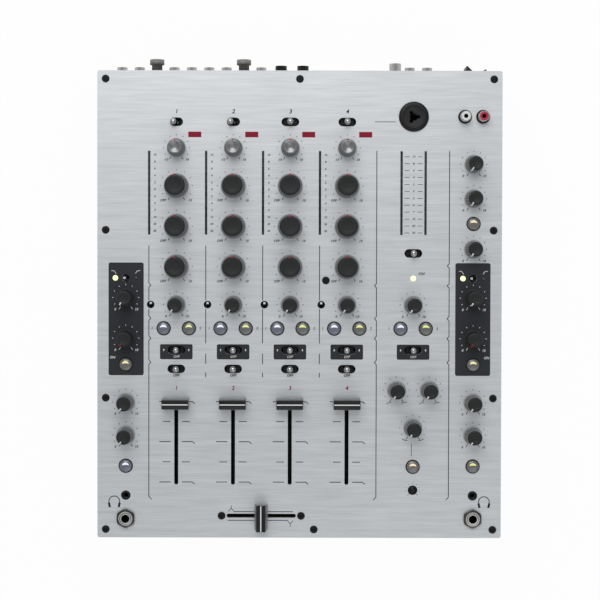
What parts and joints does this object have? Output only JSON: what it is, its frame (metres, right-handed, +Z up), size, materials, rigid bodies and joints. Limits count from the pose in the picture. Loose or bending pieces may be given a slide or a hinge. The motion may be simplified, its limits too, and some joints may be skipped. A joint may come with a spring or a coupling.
{
  "type": "dj mixer",
  "caption": "Desktop club mixer: brushed plate with rows of knobs, toggles, lit buttons, sliding faders and a crossfader on a folded steel tray with sockets at the rear.",
  "frame": {"origin": "centre of the bounding box on the table plane", "axes": "+Z up, +Y from the crossfader towards the rear sockets, +X to the right of the person using it"},
  "size_m": [0.32, 0.3814, 0.1063],
  "materials": {
    "plate": "brushed from side to side, clear anodised",
    "tray": "fine textured powder coat",
    "rubber": "matt",
    "screw": "black oxide",
    "socket": "moulded, satin",
    "rear_metal": "nickel plated",
    "window": "smoked, polished",
    "rail": "zinc plated",
    "board": "solder mask",
    "black_knob": "soft touch",
    "grey_knob": "soft touch",
    "lens": "translucent lens",
    "lever": "polished",
    "nub": "moulded",
    "fader_cap": "soft touch",
    "rocker": "moulded"
  },
  "bodies": {
    "chassis": {"top_plate": "plate", "base_tray": "tray", "rubber_feet": "rubber", "plate_screws": "screw", "top_sockets": "socket", "rear_sockets": "rear_metal", "meters_and_lamps": "window", "fader_rails": "rail", "circuit_boards": "board"},
    "channel_1_gain_knob": {"channel_1_gain_knob": "grey_knob"},
    "channel_1_high_knob": {"channel_1_high_knob": "black_knob"},
    "channel_1_middle_knob": {"channel_1_middle_knob": "black_knob"},
    "channel_1_low_knob": {"channel_1_low_knob": "black_knob"},
    "channel_1_send_knob": {"channel_1_send_knob": "black_knob"},
    "channel_2_gain_knob": {"channel_2_gain_knob": "grey_knob"},
    "channel_2_high_knob": {"channel_2_high_knob": "black_knob"},
    "channel_2_middle_knob": {"channel_2_middle_knob": "black_knob"},
    "channel_2_low_knob": {"channel_2_low_knob": "black_knob"},
    "channel_2_send_knob": {"channel_2_send_knob": "black_knob"},
    "channel_3_gain_knob": {"channel_3_gain_knob": "grey_knob"},
    "channel_3_high_knob": {"channel_3_high_knob": "black_knob"},
    "channel_3_middle_knob": {"channel_3_middle_knob": "black_knob"},
    "channel_3_low_knob": {"channel_3_low_knob": "black_knob"},
    "channel_3_send_knob": {"channel_3_send_knob": "black_knob"},
    "channel_4_gain_knob": {"channel_4_gain_knob": "grey_knob"},
    "channel_4_high_knob": {"channel_4_high_knob": "black_knob"},
    "channel_4_middle_knob": {"channel_4_middle_knob": "black_knob"},
    "channel_4_low_knob": {"channel_4_low_knob": "black_knob"},
    "channel_4_send_knob": {"channel_4_send_knob": "black_knob"},
    "return_knob": {"return_knob": "black_knob"},
    "cross_shape_knob": {"cross_shape_knob": "black_knob"},
    "left_shape_knob": {"left_shape_knob": "black_knob"},
    "left_resonance_knob": {"left_resonance_knob": "black_knob"},
    "left_frequency_knob": {"left_frequency_knob": "black_knob"},
    "left_source_knob": {"left_source_knob": "black_knob"},
    "left_level_knob": {"left_level_knob": "black_knob"},
    "right_shape_knob": {"right_shape_knob": "black_knob"},
    "right_resonance_knob": {"right_resonance_knob": "black_knob"},
    "right_frequency_knob": {"right_frequency_knob": "black_knob"},
    "right_source_knob": {"right_source_knob": "black_knob"},
    "right_level_knob": {"right_level_knob": "black_knob"},
    "master_knob": {"master_knob": "black_knob"},
    "booth_knob": {"booth_knob": "black_knob"},
    "balance_knob": {"balance_knob": "black_knob"},
    "push_buttons": {"push_buttons": "lens"},
    "channel_1_selector_lever": {"channel_1_selector_lever": "lever"},
    "channel_1_toggle_levers": {"channel_1_toggle_levers": "lever"},
    "channel_2_selector_lever": {"channel_2_selector_lever": "lever"},
    "channel_2_toggle_levers": {"channel_2_toggle_levers": "lever"},
    "channel_3_toggle_levers": {"channel_3_toggle_levers": "lever"},
    "channel_4_toggle_levers": {"channel_4_toggle_levers": "lever"},
    "master_toggle_levers": {"master_toggle_levers": "lever"},
    "send_slide_nubs": {"send_slide_nubs": "nub"},
    "filter_mode_nubs": {"filter_mode_nubs": "nub"},
    "channel_1_fader": {"channel_1_fader": "fader_cap"},
    "channel_2_fader": {"channel_2_fader": "fader_cap"},
    "channel_3_fader": {"channel_3_fader": "fader_cap"},
    "channel_4_fader": {"channel_4_fader": "fader_cap"},
    "crossfader": {"crossfader": "fader_cap"},
    "mains_rocker": {"mains_rocker": "rocker"}
  },
  "joints": [
    {"name": "channel_1_gain_turn", "type": "hinge", "parent": "chassis", "child": "channel_1_gain_knob", "pos_m": [-0.0975, 0.11835, 0.09], "axis": [0, 0, -1], "range_deg": [-150, 150]},
    {"name": "channel_1_high_turn", "type": "hinge", "parent": "chassis", "child": "channel_1_high_knob", "pos_m": [-0.0975, 0.08835, 0.09], "axis": [0, 0, -1], "range_deg": [-150, 150]},
    {"name": "channel_1_middle_turn", "type": "hinge", "parent": "chassis", "child": "channel_1_middle_knob", "pos_m": [-0.0975, 0.05635, 0.09], "axis": [0, 0, -1], "range_deg": [-150, 150]},
    {"name": "channel_1_low_turn", "type": "hinge", "parent": "chassis", "child": "channel_1_low_knob", "pos_m": [-0.0975, 0.02435, 0.09], "axis": [0, 0, -1], "range_deg": [-150, 150]},
    {"name": "channel_1_send_turn", "type": "hinge", "parent": "chassis", "child": "channel_1_send_knob", "pos_m": [-0.0975, -0.00565, 0.09], "axis": [0, 0, -1], "range_deg": [0, 300]},
    {"name": "channel_2_gain_turn", "type": "hinge", "parent": "chassis", "child": "channel_2_gain_knob", "pos_m": [-0.0525, 0.11835, 0.09], "axis": [0, 0, -1], "range_deg": [-150, 150]},
    {"name": "channel_2_high_turn", "type": "hinge", "parent": "chassis", "child": "channel_2_high_knob", "pos_m": [-0.0525, 0.08835, 0.09], "axis": [0, 0, -1], "range_deg": [-150, 150]},
    {"name": "channel_2_middle_turn", "type": "hinge", "parent": "chassis", "child": "channel_2_middle_knob", "pos_m": [-0.0525, 0.05635, 0.09], "axis": [0, 0, -1], "range_deg": [-150, 150]},
    {"name": "channel_2_low_turn", "type": "hinge", "parent": "chassis", "child": "channel_2_low_knob", "pos_m": [-0.0525, 0.02435, 0.09], "axis": [0, 0, -1], "range_deg": [-150, 150]},
    {"name": "channel_2_send_turn", "type": "hinge", "parent": "chassis", "child": "channel_2_send_knob", "pos_m": [-0.0525, -0.00565, 0.09], "axis": [0, 0, -1], "range_deg": [0, 300]},
    {"name": "channel_3_gain_turn", "type": "hinge", "parent": "chassis", "child": "channel_3_gain_knob", "pos_m": [-0.0075, 0.11835, 0.09], "axis": [0, 0, -1], "range_deg": [-150, 150]},
    {"name": "channel_3_high_turn", "type": "hinge", "parent": "chassis", "child": "channel_3_high_knob", "pos_m": [-0.0075, 0.08835, 0.09], "axis": [0, 0, -1], "range_deg": [-150, 150]},
    {"name": "channel_3_middle_turn", "type": "hinge", "parent": "chassis", "child": "channel_3_middle_knob", "pos_m": [-0.0075, 0.05635, 0.09], "axis": [0, 0, -1], "range_deg": [-150, 150]},
    {"name": "channel_3_low_turn", "type": "hinge", "parent": "chassis", "child": "channel_3_low_knob", "pos_m": [-0.0075, 0.02435, 0.09], "axis": [0, 0, -1], "range_deg": [-150, 150]},
    {"name": "channel_3_send_turn", "type": "hinge", "parent": "chassis", "child": "channel_3_send_knob", "pos_m": [-0.0075, -0.00565, 0.09], "axis": [0, 0, -1], "range_deg": [0, 300]},
    {"name": "channel_4_gain_turn", "type": "hinge", "parent": "chassis", "child": "channel_4_gain_knob", "pos_m": [0.0375, 0.11835, 0.09], "axis": [0, 0, -1], "range_deg": [-150, 150]},
    {"name": "channel_4_high_turn", "type": "hinge", "parent": "chassis", "child": "channel_4_high_knob", "pos_m": [0.0375, 0.08835, 0.09], "axis": [0, 0, -1], "range_deg": [-150, 150]},
    {"name": "channel_4_middle_turn", "type": "hinge", "parent": "chassis", "child": "channel_4_middle_knob", "pos_m": [0.0375, 0.05635, 0.09], "axis": [0, 0, -1], "range_deg": [-150, 150]},
    {"name": "channel_4_low_turn", "type": "hinge", "parent": "chassis", "child": "channel_4_low_knob", "pos_m": [0.0375, 0.02435, 0.09], "axis": [0, 0, -1], "range_deg": [-150, 150]},
    {"name": "channel_4_send_turn", "type": "hinge", "parent": "chassis", "child": "channel_4_send_knob", "pos_m": [0.0375, -0.00565, 0.09], "axis": [0, 0, -1], "range_deg": [0, 300]},
    {"name": "return_turn", "type": "hinge", "parent": "chassis", "child": "return_knob", "pos_m": [0.09, -0.00565, 0.09], "axis": [0, 0, -1], "range_deg": [0, 300]},
    {"name": "cross_shape_turn", "type": "hinge", "parent": "chassis", "child": "cross_shape_knob", "pos_m": [0.09, -0.10315, 0.09], "axis": [0, 0, -1], "range_deg": [0, 300]},
    {"name": "left_shape_turn", "type": "hinge", "parent": "chassis", "child": "left_shape_knob", "pos_m": [0.077, -0.07315, 0.09], "axis": [0, 0, -1], "range_deg": [0, 300]},
    {"name": "left_resonance_turn", "type": "hinge", "parent": "chassis", "child": "left_resonance_knob", "pos_m": [-0.1375, -0.00015, 0.09], "axis": [0, 0, -1], "range_deg": [0, 300]},
    {"name": "left_frequency_turn", "type": "hinge", "parent": "chassis", "child": "left_frequency_knob", "pos_m": [-0.1375, -0.03235, 0.09], "axis": [0, 0, -1], "range_deg": [0, 300]},
    {"name": "left_source_turn", "type": "hinge", "parent": "chassis", "child": "left_source_knob", "pos_m": [-0.1375, -0.08305, 0.09], "axis": [0, 0, -1], "range_deg": [0, 300]},
    {"name": "left_level_turn", "type": "hinge", "parent": "chassis", "child": "left_level_knob", "pos_m": [-0.1375, -0.10915, 0.09], "axis": [0, 0, -1], "range_deg": [0, 300]},
    {"name": "right_shape_turn", "type": "hinge", "parent": "chassis", "child": "right_shape_knob", "pos_m": [0.103, -0.07315, 0.09], "axis": [0, 0, -1], "range_deg": [0, 300]},
    {"name": "right_resonance_turn", "type": "hinge", "parent": "chassis", "child": "right_resonance_knob", "pos_m": [0.1375, -0.00015, 0.09], "axis": [0, 0, -1], "range_deg": [0, 300]},
    {"name": "right_frequency_turn", "type": "hinge", "parent": "chassis", "child": "right_frequency_knob", "pos_m": [0.1375, -0.03235, 0.09], "axis": [0, 0, -1], "range_deg": [0, 300]},
    {"name": "right_source_turn", "type": "hinge", "parent": "chassis", "child": "right_source_knob", "pos_m": [0.1375, -0.08305, 0.09], "axis": [0, 0, -1], "range_deg": [0, 300]},
    {"name": "right_level_turn", "type": "hinge", "parent": "chassis", "child": "right_level_knob", "pos_m": [0.1375, -0.10915, 0.09], "axis": [0, 0, -1], "range_deg": [0, 300]},
    {"name": "master_turn", "type": "hinge", "parent": "chassis", "child": "master_knob", "pos_m": [0.1375, 0.10575, 0.09], "axis": [0, 0, -1], "range_deg": [0, 300]},
    {"name": "booth_turn", "type": "hinge", "parent": "chassis", "child": "booth_knob", "pos_m": [0.1375, 0.07855, 0.09], "axis": [0, 0, -1], "range_deg": [0, 300]},
    {"name": "balance_turn", "type": "hinge", "parent": "chassis", "child": "balance_knob", "pos_m": [0.1375, 0.03865, 0.09], "axis": [0, 0, -1], "range_deg": [0, 300]},
    {"name": "buttons_press", "type": "slide", "parent": "chassis", "child": "push_buttons", "axis": [0, 0, -1], "range_m": [0, 0.0015], "stiffness_N_per_m": 400},
    {"name": "channel_1_selector_tilt", "type": "hinge", "parent": "chassis", "child": "channel_1_selector_lever", "pos_m": [-0.0975, 0.13885, 0.0842], "axis": [0, 1, 0], "range_deg": [0, 24]},
    {"name": "channel_1_toggle_tilt", "type": "hinge", "parent": "chassis", "child": "channel_1_toggle_levers", "pos_m": [-0.0975, -0.04165, 0.0842], "axis": [0, 1, 0], "range_deg": [-12, 12]},
    {"name": "channel_2_selector_tilt", "type": "hinge", "parent": "chassis", "child": "channel_2_selector_lever", "pos_m": [-0.0525, 0.13885, 0.0842], "axis": [0, 1, 0], "range_deg": [0, 24]},
    {"name": "channel_2_toggle_tilt", "type": "hinge", "parent": "chassis", "child": "channel_2_toggle_levers", "pos_m": [-0.0525, -0.04165, 0.0842], "axis": [0, 1, 0], "range_deg": [-12, 12]},
    {"name": "channel_3_toggle_tilt", "type": "hinge", "parent": "chassis", "child": "channel_3_toggle_levers", "pos_m": [-0.0075, -0.04165, 0.0842], "axis": [0, 1, 0], "range_deg": [-12, 12]},
    {"name": "channel_4_toggle_tilt", "type": "hinge", "parent": "chassis", "child": "channel_4_toggle_levers", "pos_m": [0.0375, -0.04165, 0.0842], "axis": [0, 1, 0], "range_deg": [-12, 12]},
    {"name": "master_toggle_tilt", "type": "hinge", "parent": "chassis", "child": "master_toggle_levers", "pos_m": [0.09, -0.04165, 0.0842], "axis": [0, 1, 0], "range_deg": [-12, 12]},
    {"name": "send_nubs_slide", "type": "slide", "parent": "chassis", "child": "send_slide_nubs", "axis": [0, -1, 0], "range_m": [0, 0.0024]},
    {"name": "mode_nubs_slide", "type": "slide", "parent": "chassis", "child": "filter_mode_nubs", "axis": [1, 0, 0], "range_m": [0, 0.0024]},
    {"name": "channel_1_fader_slide", "type": "slide", "parent": "chassis", "child": "channel_1_fader", "axis": [0, 1, 0], "range_m": [-0.06, 0]},
    {"name": "channel_2_fader_slide", "type": "slide", "parent": "chassis", "child": "channel_2_fader", "axis": [0, 1, 0], "range_m": [-0.06, 0]},
    {"name": "channel_3_fader_slide", "type": "slide", "parent": "chassis", "child": "channel_3_fader", "axis": [0, 1, 0], "range_m": [-0.06, 0]},
    {"name": "channel_4_fader_slide", "type": "slide", "parent": "chassis", "child": "channel_4_fader", "axis": [0, 1, 0], "range_m": [-0.06, 0]},
    {"name": "crossfader_slide", "type": "slide", "parent": "chassis", "child": "crossfader", "axis": [1, 0, 0], "range_m": [-0.0225, 0.0225]},
    {"name": "mains_rocker_tilt", "type": "hinge", "parent": "chassis", "child": "mains_rocker", "pos_m": [0.14, 0.17485, 0.064], "axis": [0, 0, 1], "range_deg": [0, 20]}
  ]
}
